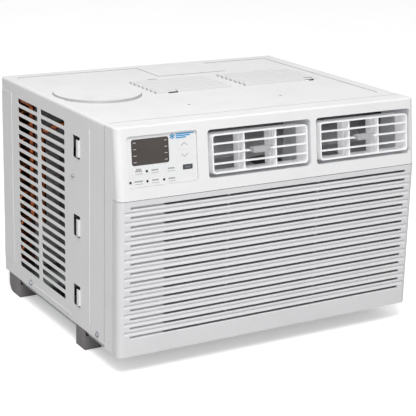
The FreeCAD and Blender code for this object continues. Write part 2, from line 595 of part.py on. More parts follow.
def make_intake_grille():
    body = doc.addObject("PartDesign::Body", "grille_body")
    outline = new_sketch(body, "grille_outline", "XY_Plane", "d.front_low")
    draw_rounded(outline, ("-d.wide / 2", "d.wide / 2"), ("d.front_y", "d.front_y + 40"), "d.corner")
    pad(body, "grille_solid", outline, "d.grille_top - d.front_low - 0.8")
    room = new_sketch(body, "grille_room", "XY_Plane", "d.front_low + d.wall")
    draw_rounded(room, ("-d.wide / 2 + d.wall", "d.wide / 2 - d.wall"),
                 ("d.front_y + 4.5", "d.front_y + 60"), 6)
    pocket(body, "grille_hollow", room, "d.grille_top - d.front_low - 2 * d.wall", reverse=True)
    gap = new_sketch(body, "gap_section", "YZ_Plane")
    low = "d.gap_top - d.gap_tall"
    draw_outline(gap, [("d.front_y + 6", low + " + 1.4"), ("d.front_y + 6", "d.gap_top + 1.4"),
                       ("d.front_y + 2.2", "d.gap_top"), ("d.front_y - 2", "d.gap_top + 0.6"),
                       ("d.front_y - 2", low + " - 2.2"), ("d.front_y + 1.6", low)])
    opening = pocket(body, "gap_cut", gap, "2 * d.gap_half", both_ways=True)
    rows_down(body, "gap_rows_cut", opening, gap, "d.gap_pitch", "d.gap_rows")
    wave = new_sketch(body, "slat_wave", "YZ_Plane")
    draw_outline(wave, [("d.front_y + 1.5", low + " - 4.6"), ("d.front_y - 0.6", low + " - 1.6"),
                        ("d.front_y - 0.6", low + " - 9")])
    hollow = pocket(body, "slat_hollow", wave, "2 * d.gap_half + 18", both_ways=True)
    rows_down(body, "slat_hollows", hollow, wave, "d.gap_pitch", "d.gap_rows - 1")
    doc.recompute()

    rear = block("grille_rear_trim", ("-d.wide", "d.wide"), (GRILLE_REAR, "d.front_y + 60"), (0, 400))
    heel = block("grille_heel_trim", ("-d.wide", "d.wide"), ("d.hinge_y - 4.6", GRILLE_REAR + 1), (0, 36))
    finger_gaps = [block(f"finger_gap_{side[0]}", side, (GRILLE_REAR - 1.6, GRILLE_REAR + 1), (191, 242))
                   for side in ((-241, -236), (236, 241))]
    shell = cut("grille_shell", body, rear, heel, *finger_gaps)
    stiffeners = [block(f"grille_stiffener_{i}", (x - 1.2, x + 1.2), ("d.front_y + 4.3", "d.front_y + 10"),
                        (30, 236)) for i, x in enumerate((-73, 73))]
    hinges = []
    for side in (-1, 1):
        cheek = sorted((side * 237.4, side * 240))
        disc = rod(f"grille_ear_{side}", "x", (cheek[0], "d.hinge_y", "d.hinge_z"), 3.7, 2.6)
        arm = block(f"grille_arm_{side}", cheek, ("d.hinge_y - 6", "d.hinge_y + 2.6"), ("d.hinge_z", 37))
        peg_span = sorted((side * 229, side * 238))
        peg = rod(f"grille_peg_{side}", "x", (peg_span[0], "d.hinge_y", "d.hinge_z"), 2, 9)
        hinges += [disc, arm, peg]
    keep(joined("grille_whole", shell, *stiffeners, *hinges), "intake_grille")


def make_filter():
    outer = block("filter_frame_outer", (-171, 222), (-186, -181.5), (40, 232))
    inner = block("filter_frame_inner", (-165, 216), (-190, -170), (46, 226))
    rim = cut("filter_rim", outer, inner)
    bars = [block(f"filter_bar_{i}", (x - 1, x + 1), (-185.6, -184), (44, 228))
            for i, x in enumerate((-70, 25, 120))]
    ribs = [block(f"filter_rib_{i}", (-167, 218), (-185.6, -184), (z - 1, z + 1))
            for i, z in enumerate((91, 136, 181))]
    keep(joined("filter_frame_whole", rim, *bars, *ribs), "air_filter_frame")
    keep(block("filter_net", (-165, 216), (-183.9, -183.3), (46, 226)), "air_filter_mesh")


# ---- discharge louvres ---------------------------------------------------------------------------

LOUVER_MID_UP = 47.6                   # middle of the frames, up the leaning front
LOUVER_FRONT = -1                      # they stand a little proud of the front
LOUVER_PIVOT = 12                      # depth of the tilt axis
VANE_AXIS = 15.5                       # depth of the vane axes
LINK_PIN = 9.5                         # depth of the link's pins
LOUVER_CENTRE = {"left": -24, "right": 149.4}


def make_louver(side):
    centre = LOUVER_CENTRE[side]
    left, right = f"{centre} - d.louver_wide / 2", f"{centre} + d.louver_wide / 2"
    low, high = f"{LOUVER_MID_UP} - d.louver_tall / 2", f"{LOUVER_MID_UP} + d.louver_tall / 2"
    rear = f"{LOUVER_FRONT} + d.louver_deep"
    shell = cut(f"louver_shell_{side}",
                front_plate(f"louver_outer_{side}", (left, right), (low, high), 5, (LOUVER_FRONT, rear)),
                front_plate(f"louver_inner_{side}",
                            (left + " + 2", right + " - 2"), (low + " + 2", high + " - 2"),
                            3, (LOUVER_FRONT - 1, rear + " + 1")))
    pieces = [shell]
    for i in (1, 2, 3):
        up = f"{low} + d.louver_tall * {i} / 4"
        spans = [(left + " + 1", right + " - 1")]
        if i == 2:
            spans = [(left + " + 1", f"{centre} - 16.6"), (f"{centre} + 16.6", right + " - 1")]
        for n, span in enumerate(spans):
            pieces.append(front_block(f"louver_blade_{side}_{i}_{n}", span, (up + " - 0.9", up + " + 0.9"),
                                      (LOUVER_FRONT + 0.4, 6)))
    for i in (-1, 1):
        x = centre + i * size("d.louver_wide") / 6
        pieces.append(front_block(f"louver_bar_{side}_{i}", (x - 1.1, x + 1.1), (low + " + 1", high + " - 1"),
                                  (LOUVER_FRONT + 2, 6)))
    for i, start in ((-1, f"{left} - 8.1"), (1, f"{right} - 0.5")):
        pin = doc.addObject("Part::Cylinder", f"louver_pin_{side}_{i}")
        pin.setExpression("Radius", "2.5")
        pin.setExpression("Height", "8.6")
        place_on_front(pin, start, LOUVER_MID_UP, LOUVER_PIVOT)
        pin.Placement.Rotation = AXIS_TURN["x"]
        pieces.append(pin)
    frame = joined(f"louver_whole_{side}", *pieces)
    sockets = []
    for i in (-1, 1):
        x = f"{centre} + {i} * d.vane_offset"
        socket = drill(f"vane_socket_{side}_{i}", 1.55, "d.louver_tall + 4")
        sockets.append(place_on_front(socket, x, low + " - 2", VANE_AXIS))
    keep(cut(f"louver_cut_{side}", frame, *sockets), f"louver_frame_{side}")


def make_vanes(side):
    """Two upright vanes that pivot in the frame, and the link that ties them."""
    centre = LOUVER_CENTRE[side]
    half = size("d.louver_tall") / 2
    inner = half - 2.4
    for i, word in ((-1, "outer"), (1, "inner")):
        x = centre + i * size("d.vane_offset")
        blade = front_block(f"vane_blade_{side}_{i}", (x - 0.8, x + 0.8),
                            (LOUVER_MID_UP - inner, LOUVER_MID_UP + inner), (7.2, 28.6))
        notch = front_block(f"vane_notch_{side}_{i}",
                            (x - 3, x + 3), (LOUVER_MID_UP - 2.4, LOUVER_MID_UP + 2.4),
                            (7, 12.8))
        core = place_on_front(drill(f"vane_core_{side}_{i}", 1.5, 2 * half - 0.2), x,
                              LOUVER_MID_UP - half + 0.1, VANE_AXIS)
        pin = place_on_front(drill(f"vane_pin_{side}_{i}", 0.9, 8), x, LOUVER_MID_UP - 4, LINK_PIN)
        keep(joined(f"vane_whole_{side}_{i}", cut(f"vane_cut_{side}_{i}", blade, notch), core, pin),
             f"vane_{side}_{word}")
    bar = front_block(f"link_bar_{side}",
                      (centre - 25, centre + 25), (LOUVER_MID_UP - 1.3, LOUVER_MID_UP + 1.3),
                      (LINK_PIN - 1, LINK_PIN + 1))
    grip = cut(f"link_grip_{side}",
               front_plate(f"link_grip_outer_{side}",
                           (centre - 12, centre + 12), (LOUVER_MID_UP - 4, LOUVER_MID_UP + 4),
                           1.6, (-1.8, LINK_PIN)),
               front_block(f"link_grip_inner_{side}", (centre - 10.8, centre + 10.8),
                           (LOUVER_MID_UP - 2.8, LOUVER_MID_UP + 2.8), (-0.4, 14)))
    eyes, holes = [], []
    for i in (-1, 1):
        x = f"{centre} + {i} * d.vane_offset"
        eyes.append(place_on_front(drill(f"link_eye_{side}_{i}", 2.2, 3.2), x, LOUVER_MID_UP - 1.6, LINK_PIN))
        holes.append(place_on_front(drill(f"link_hole_{side}_{i}", 0.95, 8), x, LOUVER_MID_UP - 4, LINK_PIN))
    keep(cut(f"link_cut_{side}", joined(f"link_whole_{side}", bar, grip, *eyes), *holes), f"vane_link_{side}")


# ---- air path ------------------------------------------------------------------------------------

DUCT_X = (-109.3, 235)
DUCT_REAR = -121


def make_discharge_duct():
    low, high = "d.outlet_low - 3.2", "d.outlet_high + 3.2"
    outer = front_block("duct_outer", DUCT_X, (low, high), (4.8, 90))
    rooms = []
    for side in ("left", "right"):
        rooms.append(front_block(f"duct_room_{side}",
                                 (f"d.outlet_{side} - 0.8", f"d.outlet_{side} + d.outlet_wide + 0.6"),
                                 (low + " + 2.4", high + " - 2.4"), (0, 120)))
    rear = block("duct_rear_trim", (-300, 300), (DUCT_REAR, 0), (200, 400))
    bearings = []
    for side, centre in LOUVER_CENTRE.items():
        starts = (-1, f"{centre} - d.louver_wide / 2 - 10"), (1, f"{centre} + d.louver_wide / 2 + 2")
        for i, start in starts:
            bearing = doc.addObject("Part::Cylinder", f"duct_bearing_{side}_{i}")
            bearing.setExpression("Radius", "2.56")
            bearing.setExpression("Height", "8")
            place_on_front(bearing, start, LOUVER_MID_UP, LOUVER_PIVOT)
            bearing.Placement.Rotation = AXIS_TURN["x"]
            bearings.append(bearing)
    keep(cut("duct_cut", outer, *rooms, rear, *bearings), "discharge_duct")


def make_blower_housing():
    """Scroll chamber of the blower, with a room above that opens to the discharge duct."""
    x, z = size("d.axle_x"), size("d.axle_z")
    front, rear = -118.0, -62.0
    shell = Part.makeBox(346, rear - front, 286, Vector(-110, front, 46))
    turns = [math.radians(90 + 10 * i) for i in range(28)]
    spiral = [Vector(x + (86 + 1.0 * i) * math.cos(turn), front - 1, z + (86 + 1.0 * i) * math.sin(turn))
              for i, turn in enumerate(turns)]
    curve = Part.BSplineCurve()
    curve.interpolate(spiral)
    outlet = Part.makePolygon([spiral[-1], Vector(spiral[-1].x, front - 1, 250),
                               Vector(spiral[0].x, front - 1, 250),
                               spiral[0]])
    scroll = Part.Face(Part.Wire([curve.toShape(), *outlet.Edges]))
    chamber = scroll.extrude(Vector(0, rear - front - 3, 0))
    room = Part.makeBox(340, rear - front - 2, 84, Vector(-107, front - 1, 245))
    housing = shell.cut(chamber.fuse(room))
    housing = housing.cut(Part.makeCylinder(8, 20, Vector(x, rear - 10, z), Vector(0, 1, 0)))
    keep(free_shape("housing", housing), "blower_housing")


def make_blower_wheel():
    """Squirrel cage: a hub disc, a front ring and forward-curved blades between them."""
    x, z, radius = size("d.axle_x"), size("d.axle_z"), size("d.blower_r")
    front, rear = -113.0, -69.0
    along = Vector(0, 1, 0)
    hub = Part.makeCylinder(radius, 2, Vector(x, rear - 2, z), along)
    boss = Part.makeCylinder(11, 16, Vector(x, rear - 16, z), along)
    ring = Part.makeCylinder(radius, 3, Vector(x, front, z), along).cut(
        Part.makeCylinder(radius - 12, 3, Vector(x, front, z), along))
    count = 36
    blade = Part.makeBox(12, rear - front - 3, 1.2, Vector(radius - 12.4, front + 2, 0))
    blades = []
    for i in range(count):
        turned = blade.copy()
        turned.rotate(Vector(radius - 6, 0, 0), along, 24)
        turned.rotate(Vector(), along, 360 * i / count)
        turned.translate(Vector(x, 0, z))
        blades.append(turned)
    wheel = hub.multiFuse([boss, ring, *blades])
    wheel = wheel.cut(Part.makeCylinder(size("d.shaft_r"), 60, Vector(x, front - 5, z), along))
    keep(free_shape("blower", wheel), "blower_wheel")


def make_bulkhead():
    sheet_metal = block("bulkhead_sheet", ("-d.wide / 2 + 3", "d.wide / 2 - 3"), (-60.5, -59.3),
                        ("d.pan_z + d.pan_wall + 1", "d.top_z - 3"))
    hole = rod("bulkhead_hole", "y", ("d.axle_x", -70, "d.axle_z"), 9, 20)
    pipe_hole = rod("bulkhead_pipe_hole", "y", (-150, -70, 150), 16, 20)
    flange = block("bulkhead_flange", ("-d.wide / 2 + 9", "d.wide / 2 - 9"), (-60.5, -49), (21.8, 23))
    foot = block("bulkhead_foot", ("-d.wide / 2 + 9", "d.wide / 2 - 9"), (-60.5, -59.3),
                 (21.8, "d.pan_z + d.pan_wall + 1"))
    keep(cut("bulkhead_cut", joined("bulkhead_raw", sheet_metal, flange, foot), hole, pipe_hole), "bulkhead")


def make_coil(name, x, y, rows, low_z, flange=0):
    """Fin pack, serpentine tube and end plates of one heat exchanger; the plates may have a flange."""
    radius, pitch = size("d.copper_r"), size("d.coil_pitch")
    left, right = x
    front, rear = y
    middle = (front + rear) / 2
    offset = (rear - front) / 4
    top_z = low_z + pitch * rows
    fins = []
    fin_pitch = 7.0
    count = int((right - left - 6) / fin_pitch)
    for i in range(count):
        corner = Vector(left + 6 + i * fin_pitch, front, low_z)
        fins.append(Part.makeBox(0.8, rear - front, top_z - low_z, corner))
    web = Part.makeBox(right - left - 12, 1.0, top_z - low_z, Vector(left + 6, middle - 0.5, low_z))
    pack = web.multiFuse(fins)
    bores, copper = [], []
    for depth in (middle - offset, middle + offset):
        for row in range(rows):
            at = Vector(left - 6, depth, low_z + pitch * (row + 0.5))
            copper.append(Part.makeCylinder(radius, right - left + 12, at, Vector(1, 0, 0)))
            bores.append(copper[-1])
        for row in range(rows - 1):
            outward = 1 if row % 2 else -1
            end = right + 6 if outward > 0 else left - 6
            centre = Vector(end, depth, low_z + pitch * (row + 1))
            bend = Part.makeTorus(pitch / 2, radius, centre, Vector(0, 1, 0))
            corner = Vector(end if outward > 0 else end - pitch, depth - 30, centre.z - 40)
            half = Part.makeBox(pitch, 60, 80, corner)
            copper.append(bend.common(half))
    crossover = Vector(right + 6, middle, low_z + pitch * 0.5)
    drop = Part.makeTorus(offset, radius, crossover, Vector(0, 0, 1))
    side_box = Part.makeBox(40, 60, 60, crossover + Vector(0, -30, -30))
    copper.append(drop.common(side_box))
    tubes = copper[0].multiFuse(copper[1:])
    plates = [Part.makeBox(1.2, rear - front + 4, top_z - low_z + 6, Vector(end, front - 2, low_z - 3))
              for end in (left, right - 1.2)]
    drilled = [plate_.cut(Part.makeCompound(bores)) for plate_ in plates]
    if flange:
        tall = top_z - low_z + 6
        drilled = [side.fuse(Part.makeBox(flange, 1.2, tall, Vector(start, rear + 0.8, low_z - 3)))
                   for side, start in zip(drilled, (left - flange + 0.6, right - 0.6))]
    keep(free_shape(name + "_fin_pack", pack.cut(Part.makeCompound(bores))), name + "_fins")
    keep(free_shape(name + "_tube_run", tubes), name + "_tubes")
    keep(free_shape(name + "_plates", Part.makeCompound(drilled)), name + "_end_plates")


# ---- fan drive -----------------------------------------------------------------------------------

def make_fan_drive():
    axis = ("d.axle_x", "d.axle_z")
    can = rod("motor_can", "y", (axis[0], -30, axis[1]), 52, 52)
    boss_front = rod("motor_boss_front", "y", (axis[0], -42, axis[1]), 15, 14)
    boss_rear = rod("motor_boss_rear", "y", (axis[0], 20, axis[1]), 15, 12)
    bore = rod("motor_bore", "y", (axis[0], -60, axis[1]), "d.shaft_r + 0.05", 120)
    keep(cut("motor_cut", joined("motor_raw", can, boss_front, boss_rear), bore), "fan_motor")
    post = block("bracket_post", ("d.axle_x - 46", "d.axle_x + 46"), (-26, 18), (23.5, "d.axle_z - 40"))
    post_room = block("bracket_room", ("d.axle_x - 43", "d.axle_x + 43"), (-30, 22), (27, "d.axle_z - 30"))
    saddle = rod("bracket_saddle", "y", (axis[0], -30, axis[1]), 52.4, 60)
    foot = block("bracket_foot", ("d.axle_x - 64", "d.axle_x + 64"), (-26, 18), (22, 24.5))
    keep(cut("bracket_cut", joined("bracket_raw", cut("bracket_post_cut", post, post_room), foot), saddle),
         "motor_bracket")
    keep(rod("shaft_rod", "y", (axis[0], -106, axis[1]), "d.shaft_r", 200), "fan_shaft")


def make_condenser_fan():
    """Five pitched blades in a slinger ring that dips towards the pan."""
    x, z, radius = size("d.axle_x"), size("d.axle_z"), size("d.fan_r")
    along = Vector(0, 1, 0)
    middle = 74.0
    boss = Part.makeCylinder(22, 26, Vector(x, middle - 13, z), along)
    ring = Part.makeCylinder(radius, 9, Vector(x, middle + 4, z), along).cut(
        Part.makeCylinder(radius - 3, 9, Vector(x, middle + 4, z), along))
    blades = []
    for i in range(5):
        blade = Part.makeBox(radius - 20, 1.8, 74, Vector(18, -0.9, -37))
        blade = blade.common(Part.makeCylinder(radius - 1.5, 60, Vector(0, -30, 0), along))
        blade.rotate(Vector(), Vector(1, 0, 0), 66)
        blade.rotate(Vector(), along, 72 * i)
        blade.translate(Vector(x, middle + 2, z))
        blades.append(blade)
    limits = Part.makeCylinder(radius - 1, 60, Vector(x, middle - 30, z), along)
    fan = boss.multiFuse([ring, *[blade.common(limits) for blade in blades]])
    fan = fan.cut(Part.makeCylinder(size("d.shaft_r"), 60, Vector(x, middle - 30, z), along))
    keep(free_shape("rear_fan", fan), "condenser_fan")


def make_fan_shroud():
    body = plate("shroud_body", "XZ_Plane", (-100, 232), ("d.pan_z + 3", "d.top_z - 4"), 6, 2, reverse=True)
    place(body, 0, 101, 0)
    hole = rod("shroud_hole", "y", ("d.axle_x", 90, "d.axle_z"), "d.fan_r + 6", 40)
    lip_out = rod("shroud_lip_outer", "y", ("d.axle_x", 92, "d.axle_z"), "d.fan_r + 8", 10)
    lip_in = rod("shroud_lip_inner", "y", ("d.axle_x", 80, "d.axle_z"), "d.fan_r + 6", 40)
    side = block("shroud_side_limit", (-100, 400), (80, 140), ("d.pan_z + 3", "d.top_z - 4"))
    lip = doc.addObject("Part::Common", "shroud_lip")
    lip.Base = cut("shroud_lip_ring", lip_out, lip_in)
    lip.Tool = side
    keep(joined("shroud_whole", cut("shroud_plate", body, hole), lip), "fan_shroud")


# ---- refrigerant circuit -------------------------------------------------------------------------

def make_compressor():
    x, y = "d.swell_x", "d.swell_y"
    can = rod("compressor_can", "z", (x, y, 52), 54, 218)
    base = doc.addObject("Part::Sphere", "compressor_base")
    base.Radius = 80
    place(base, x, y, 112)
    dome = doc.addObject("Part::Sphere", "compressor_dome")
    dome.Radius = 80
    place(dome, x, y, 204)
    limited = doc.addObject("Part::MultiCommon", "compressor_shell")
    limited.Shapes = [can, base, dome]
    belt = rod("compressor_belt", "z", (x, y, 76), 55.2, 170)
    cap = rod("compressor_cap", "z", (x, y, 278), 19, 22)
    seat = rod("compressor_seat", "z", (x, y, 40), 30, 20)
    feet = []
    for i, spot in enumerate(mount_spots()):
        pad_disc = rod(f"compressor_pad_{i}", "z", (*spot, 38), 12, 2.5)
        arm = block(f"compressor_arm_{i}", (-8, 66), (-11, 11), (38, 40.5))
        turn = (30, 150, 270)[i]
        arm.Placement = Placement(Vector(), Rotation(Vector(0, 0, 1), turn))
        arm.setExpression("Length", "60")
        place(arm, x, y, 38)
        feet += [pad_disc, arm]
    web = rod("compressor_web", "z", (x, y, 38), 34, 2.5)
    holes = [rod(f"compressor_foot_hole_{i}", "z", (*spot, 30), 6, 20)
             for i, spot in enumerate(mount_spots())]
    raw = joined("compressor_raw", limited, belt, cap, seat, web, *feet)
    works = rod("compressor_inside", "z", (x, y, 112), 49, 140)
    keep(cut("compressor_cut", raw, works, *holes), "compressor")
    grommets = []
    bolts = []
    for i, spot in enumerate(mount_spots()):
        stem = rod(f"grommet_stem_{i}", "z", (*spot, "d.pan_z + 1.2"), 5.9, 20.4)
        skirt = rod(f"grommet_skirt_{i}", "z", (*spot, "d.pan_z + 1.2"), 10, 16.2)
        hole = rod(f"grommet_bore_{i}", "z", (*spot, 10), 3.1, 60)
        grommets.append(cut(f"grommet_{i}", joined(f"grommet_raw_{i}", stem, skirt), hole))
        shank = rod(f"bolt_shank_{i}", "z", (*spot, "d.pan_z - 2"), 3, 29)
        head = rod(f"bolt_head_{i}", "z", (*spot, "d.pan_z + 21.8"), 9, 1.4)
        nut = doc.addObject("Part::Prism", f"bolt_nut_{i}")
        nut.Polygon = 6
        nut.Circumradius = 5.5
        nut.Height = 4.5
        place(nut, *spot, "d.pan_z + 23.2")
        bolts.append(joined(f"bolt_{i}", shank, head, nut))
    keep(group("grommet_group", grommets), "compressor_grommets")
    keep(group("bolt_group", bolts), "compressor_bolts")
    keep(cut("accumulator_cut", joined("accumulator_raw",
                                       rod("accumulator_can", "z", (-90, 40, 70), 19, 130),
                                       rod("accumulator_neck", "z", (-90, 40, 198), 8, 14),
                                       rod("accumulator_tail", "z", (-90, 40, 58), 8, 14),
                                       free_shape("accumulator_outlet", accumulator_outlet())),
             rod("accumulator_pipe_hole", "z", (-90, 40, 204), 4.0, 20)), "accumulator")


def accumulator_outlet():
    """Bent tube from the accumulator's foot into the side of the compressor."""
    low = Vector(-90, 40, 48)
    return tube([low + Vector(0, 0, 12), low, low + Vector(-26, -6.3, 0)], 4.5, 7)


def make_pipes():
    """Refrigerant lines between the compressor, the coils and the accumulator."""
    side, low = -233.5, 140
    discharge = [Vector(-190, 5, 270.2), Vector(-190, 5, 302), Vector(side, 0, 302), Vector(side, 40, 284),
                 Vector(side, 60, 284), Vector(side, 60, low), Vector(side, 98, low), Vector(side, 98, 310.5),
                 Vector(side, 149, 310.5), Vector(-223.3, 149, 310.5)]
    keep(free_shape("discharge_line", tube(discharge, 3.9, 9)), "discharge_pipe")
    suction = [Vector(-90, 40, 204.5), Vector(-90, 40, 240), Vector(-90, -20, 262), Vector(-150, -40, 200),
               Vector(-150, -40, 150), Vector(-150, -112, 150)]
    keep(free_shape("suction_line", tube(suction, 3.9, 14)), "suction_pipe")
    loops = [Part.makeTorus(14, 1.3, Vector(-212, -40, 70 + 3.2 * i), Vector(0, 0, 1)) for i in range(4)]
    ties = [Part.makeCylinder(1.2, 3.2 * 3, Vector(-212 + 14 * side, -40, 70), Vector(0, 0, 1))
            for side in (-1, 1)]
    coil = loops[0].multiFuse(loops[1:] + ties)
    keep(free_shape("capillary", coil), "capillary_tube")


def make_small_parts():
    keep(rod("capacitor_can", "z", (-214, -90, 120), 18, 78), "run_capacitor")
    strap = cut("capacitor_strap_ring", rod("strap_outer", "z", (-214, -90, 150), 19.6, 12),
                rod("strap_inner", "z", (-214, -90, 140), 18.1, 40))
    foot = block("strap_foot", (-232, -196), (-72.2, -60.5), (150, 162))
    clear = rod("strap_foot_clear", "z", (-214, -90, 140), 18.1, 40)
    keep(cut("capacitor_strap_cut", joined("capacitor_strap_raw", strap, foot), clear), "capacitor_strap")
    keep(joined("sensor_whole", rod("sensor_bulb", "z", (-60, -156, 150), 2.6, 30),
                block("sensor_clip", (-62, -58), (-156, -151.4), (160, 168))), "temperature_sensor")
    bush = joined("gland_raw", rod("gland_stem", "z", (200, -128, "d.pan_z - 2"), 7.9, 8),
                  rod("gland_flange", "z", (200, -128, "d.pan_z + 1.2"), 11, 3),
                  rod("gland_nose", "z", (200, -128, "d.pan_z - 3"), 11, 3))
    keep(cut("gland_cut", bush, rod("gland_bore", "z", (200, -128, 0), 4.2, 60)), "cord_gland")
    keep(joined("drain_plug_whole", rod("plug_stem", "z", (-150, 160, "d.pan_z - 2"), 5.9, 8),
                rod("plug_head", "z", (-150, 160, "d.pan_z - 3"), 9, 3)), "drain_plug")


def screw(name, side, y, z, head_r, washer_r):
    """Screw in a cabinet side: washer, head and shank along X."""
    face = size("d.wide / 2")
    pieces = []
    for part_name, radius, low, high in (("washer", washer_r, 0, 0.8), ("head", head_r, 0.8, 2.6),
                                         ("shank", 1.6, -7, 0)):
        span = sorted((side * (face + low), side * (face + high)))
        pieces.append(rod(f"{name}_{part_name}", "x", (span[0], y, z), radius, span[1] - span[0]))
    return joined(name, *pieces)


def make_screws():
    large = [screw(f"skirt_screw_{i}", side, y, z, 3.2, 5)
             for i, (side, y, z) in enumerate((s, y, z) for s in (-1, 1) for y, z in ((96, 39), (-133, 38)))]
    small = [screw(f"side_screw_{side}", side, -57, 243, 2.2, 3.2) for side in (-1, 1)]
    drilled = [rod(f"screw_way_{i}", "x", ("-d.wide", y, z), 1.6, "2 * d.wide")
               for i, (y, z) in enumerate(((96, 39), (-133, 38), (-57, 243)))]
    keep(group("screw_group", large + small), "cabinet_screws")
    return drilled


def drill_for_screws(drilled):
    """Screw holes through the cabinet sides and the pan's rim."""
    for label in ("cabinet", "base_pan"):
        index = next(i for i, node in enumerate(NODES) if node.Label == label)
        solid = NODES.pop(index)
        solid.Label = label + "_undrilled"
        keep(cut(label + "_drilled", solid, *drilled), label)


make_cabinet()
make_base_pan()
make_feet()
make_front_panel()
make_controls()
make_intake_grille()
make_filter()
for louver_side in LOUVER_CENTRE:
    make_louver(louver_side)
    make_vanes(louver_side)
make_discharge_duct()
make_blower_housing()
make_blower_wheel()
make_bulkhead()
make_coil("evaporator", (-128, 216), (-150, -124), 9, 44)
make_coil("condenser", (-217, 217), (140, 176), 13, 48, flange=21)
make_fan_drive()
make_condenser_fan()
make_fan_shroud()
make_compressor()
make_pipes()
make_small_parts()
drill_for_screws(make_screws())

doc.recompute()
for item in doc.Objects:
    if "Invalid" in item.State or "Error" in item.State:
        raise RuntimeError(f"{item.Label} failed: {item.State}")
os.makedirs("parts", exist_ok=True)
for node in NODES:
    if node.Shape.isNull() or not node.Shape.isValid():
        raise RuntimeError(f"{node.Label} has no valid shape")
    node.Shape.exportStep(f"parts/{node.Label}.step")
print(len(NODES), "sub-parts written")
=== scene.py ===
import json
import math
import bmesh
import bpy
from mathutils import Matrix, Vector


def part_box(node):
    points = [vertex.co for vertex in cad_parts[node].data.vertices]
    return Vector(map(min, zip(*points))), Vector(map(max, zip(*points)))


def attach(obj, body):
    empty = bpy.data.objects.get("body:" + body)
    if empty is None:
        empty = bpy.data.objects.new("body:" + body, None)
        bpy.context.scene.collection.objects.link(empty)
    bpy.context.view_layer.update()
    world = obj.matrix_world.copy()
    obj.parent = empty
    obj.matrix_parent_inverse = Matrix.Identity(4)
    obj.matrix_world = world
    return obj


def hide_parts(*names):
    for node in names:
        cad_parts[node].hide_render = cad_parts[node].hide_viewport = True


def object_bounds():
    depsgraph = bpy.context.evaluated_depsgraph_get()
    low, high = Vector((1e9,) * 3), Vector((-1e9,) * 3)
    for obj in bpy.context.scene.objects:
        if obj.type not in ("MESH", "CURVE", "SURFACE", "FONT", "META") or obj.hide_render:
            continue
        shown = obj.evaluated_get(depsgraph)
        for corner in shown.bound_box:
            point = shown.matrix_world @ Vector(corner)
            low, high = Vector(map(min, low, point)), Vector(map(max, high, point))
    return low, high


# Looks of a window air conditioner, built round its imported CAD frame. Metres; +X right seen from
# the room, +Y out of the window, +Z up.

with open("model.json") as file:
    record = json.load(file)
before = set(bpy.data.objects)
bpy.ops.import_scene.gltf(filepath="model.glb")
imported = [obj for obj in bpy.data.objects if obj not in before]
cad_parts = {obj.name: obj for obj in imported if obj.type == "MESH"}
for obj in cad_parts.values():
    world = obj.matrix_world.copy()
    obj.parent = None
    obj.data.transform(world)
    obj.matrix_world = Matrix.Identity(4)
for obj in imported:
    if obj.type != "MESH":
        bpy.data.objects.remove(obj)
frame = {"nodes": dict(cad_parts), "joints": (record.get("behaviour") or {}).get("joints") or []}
cad_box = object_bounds()
nodes = frame["nodes"]
joints = {joint["name"]: joint for joint in frame["joints"]}
MM = 0.001

# ---- axes of the leaning control front -----------------------------------------------------------

ACROSS = Vector((1, 0, 0))
INWARD = Vector(joints["press_up"]["axis"])
UPWARD = Vector((0, -INWARD.z, INWARD.y))
FRONT_CORNER = Vector((0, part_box("front_panel")[0].y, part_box("intake_grille")[1].z + 0.8 * MM))


def front_spot(node):
    """Middle of a node in the front's own axes: across, up and depth."""
    low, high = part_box(node)
    offset = (low + high) / 2 - FRONT_CORNER
    return offset.x, offset.dot(UPWARD), offset.dot(INWARD)


def on_front(x, up, depth):
    return FRONT_CORNER + ACROSS * x + UPWARD * up + INWARD * depth


# ---- material building ---------------------------------------------------------------------------

